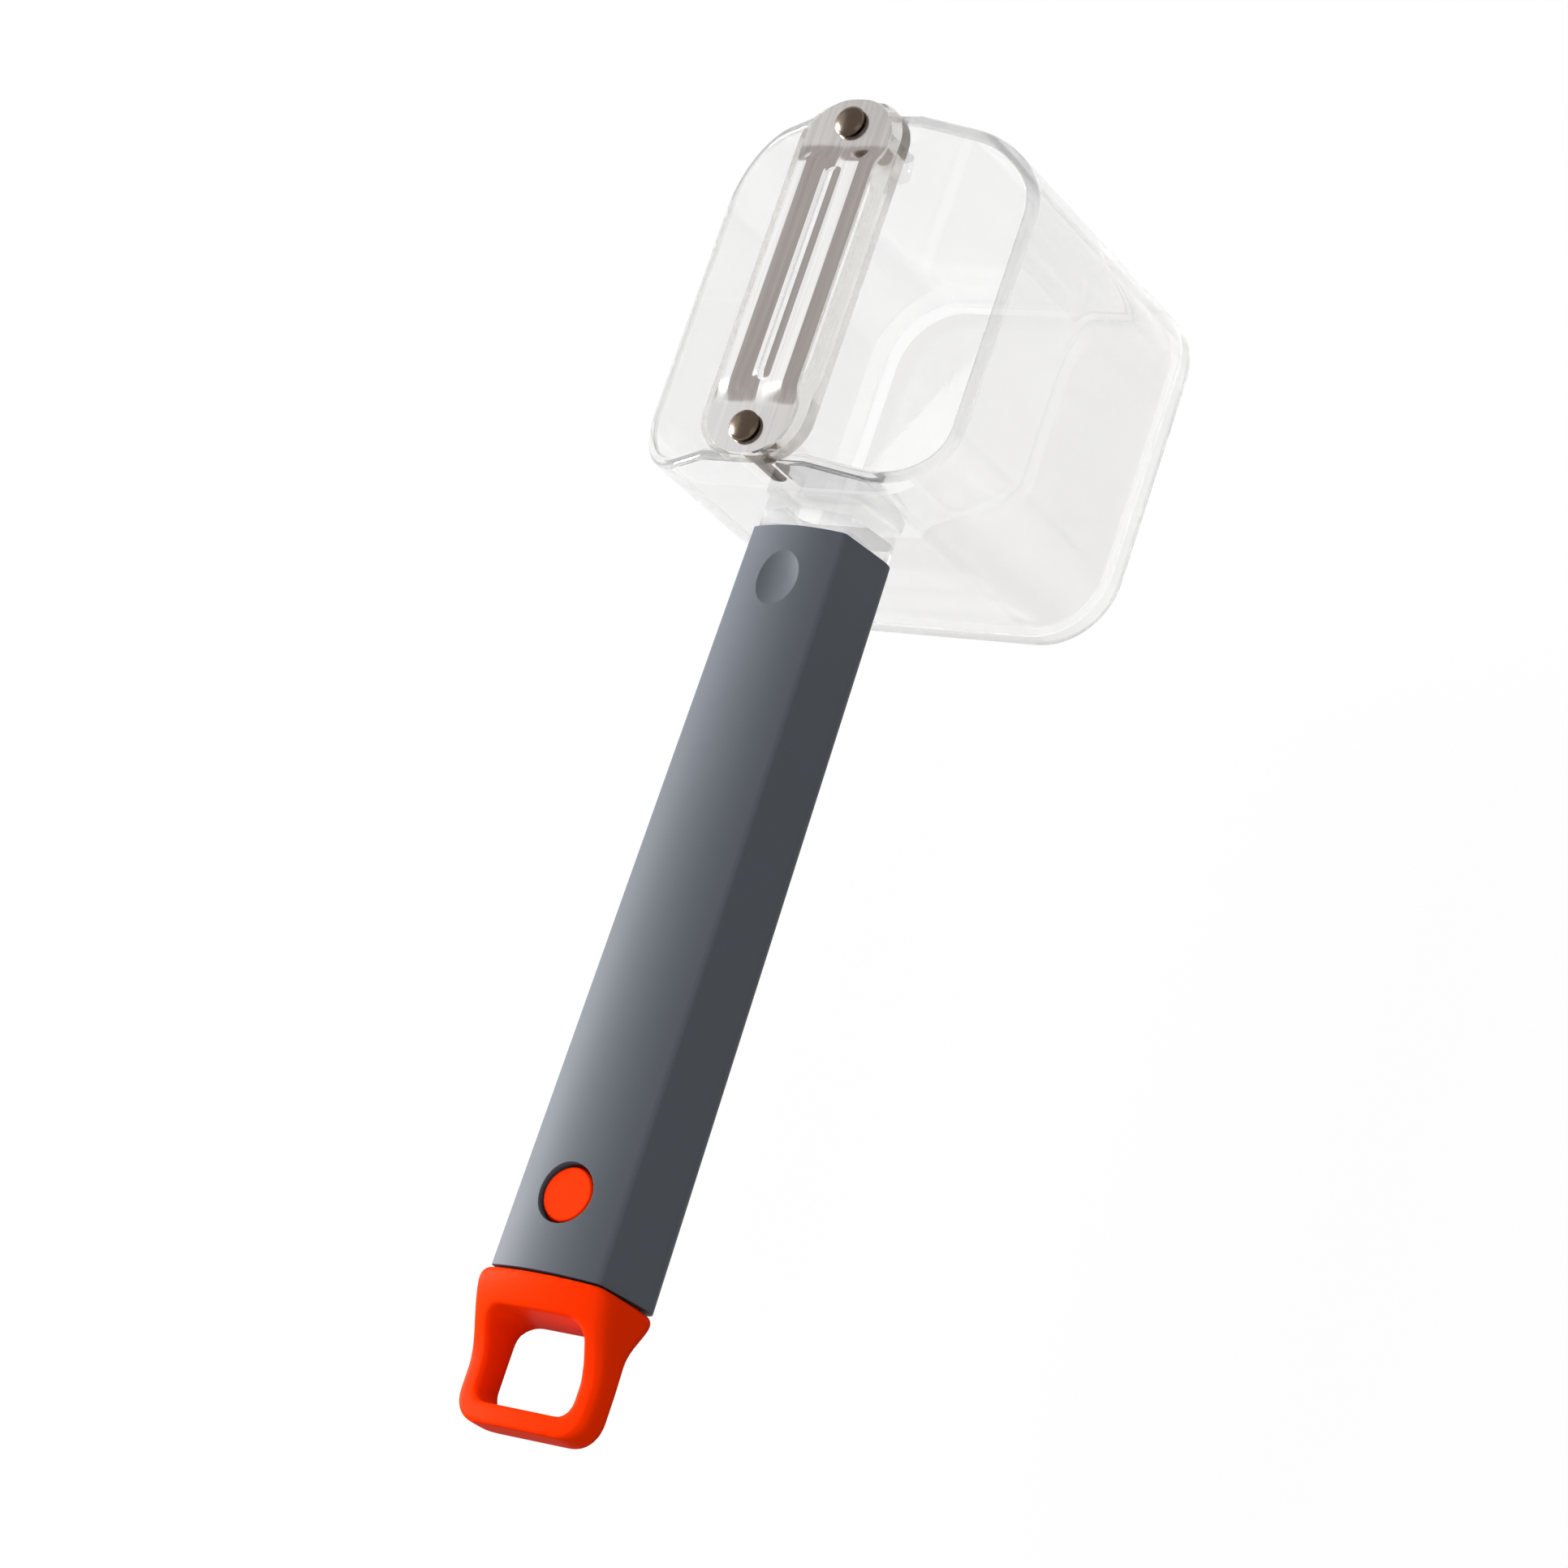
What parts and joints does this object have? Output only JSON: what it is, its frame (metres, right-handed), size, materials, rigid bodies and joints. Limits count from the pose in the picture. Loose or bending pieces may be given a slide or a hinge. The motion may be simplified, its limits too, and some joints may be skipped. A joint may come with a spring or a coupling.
{
  "type": "vegetable peeler",
  "caption": "Straight vegetable peeler with a slotted steel blade across the mouth of a clear peel bin, a hollow grey handle, and an orange hanging tail held by a push-button latch.",
  "frame": {"origin": "centre of the outer face of the bin's floor", "axes": "+X across the blade, +Y along the handle towards the head, +Z from the bin's floor towards the blade"},
  "size_m": [0.061, 0.217, 0.0711],
  "materials": {
    "clear_plastic": "clear and glossy",
    "bridge_plastic": "clear and glossy",
    "blade_steel": "polished stainless steel",
    "rivet_metal": "dark bronze, polished",
    "handle_plastic": "dark grey, fine matt",
    "orange_plastic": "bright orange, satin"
  },
  "bodies": {
    "handle": {"bin": "clear_plastic", "blade_bridge": "bridge_plastic", "blade": "blade_steel", "blade_rivet_upper": "rivet_metal", "blade_rivet_lower": "rivet_metal", "handle_shell": "handle_plastic"},
    "tail": {"tail_loop": "orange_plastic"},
    "latch": {"latch_arm": "orange_plastic"}
  },
  "joints": [
    {"name": "tail_pull", "type": "slide", "parent": "handle", "child": "tail", "axis": [0, -1, 0], "range_m": [0, 0.035], "deforming": ["latch_arm"]},
    {"name": "button_press", "type": "hinge", "parent": "tail", "child": "latch", "pos_m": [0, -0.13, 0.0455], "axis": [1, 0, 0], "range_deg": [0, 6.6], "stiffness_Nm_per_rad": 0.66}
  ]
}
